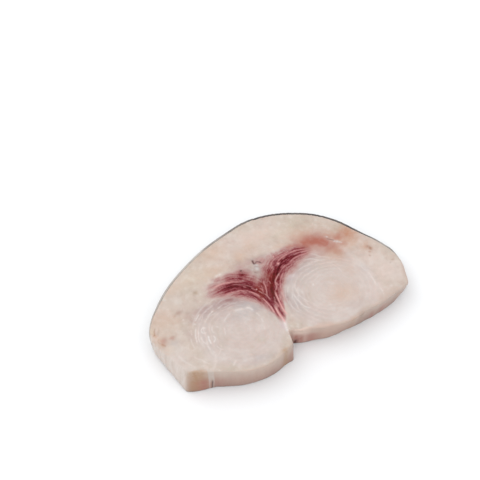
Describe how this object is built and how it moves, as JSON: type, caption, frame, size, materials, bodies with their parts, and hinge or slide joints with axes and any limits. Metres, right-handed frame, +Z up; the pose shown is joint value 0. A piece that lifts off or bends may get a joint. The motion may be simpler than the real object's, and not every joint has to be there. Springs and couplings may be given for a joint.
{
  "type": "swordfish fillet",
  "caption": "Raw half-moon slice of fish fillet with skin on its curved edge, a notch at the front and a dark red seam between its muscle lobes.",
  "frame": {"origin": "on the surface it lies on, under the middle of its box", "axes": "+Z up through the slice, +X along the slice from its square corner to its pointed tip, +Y towards the skin"},
  "size_m": [0.1848, 0.1124, 0.0219],
  "materials": {
    "flesh": "satin",
    "skin": "satin"
  },
  "bodies": {
    "root": {"swordfish_fillet": "flesh"}
  },
  "joints": []
}
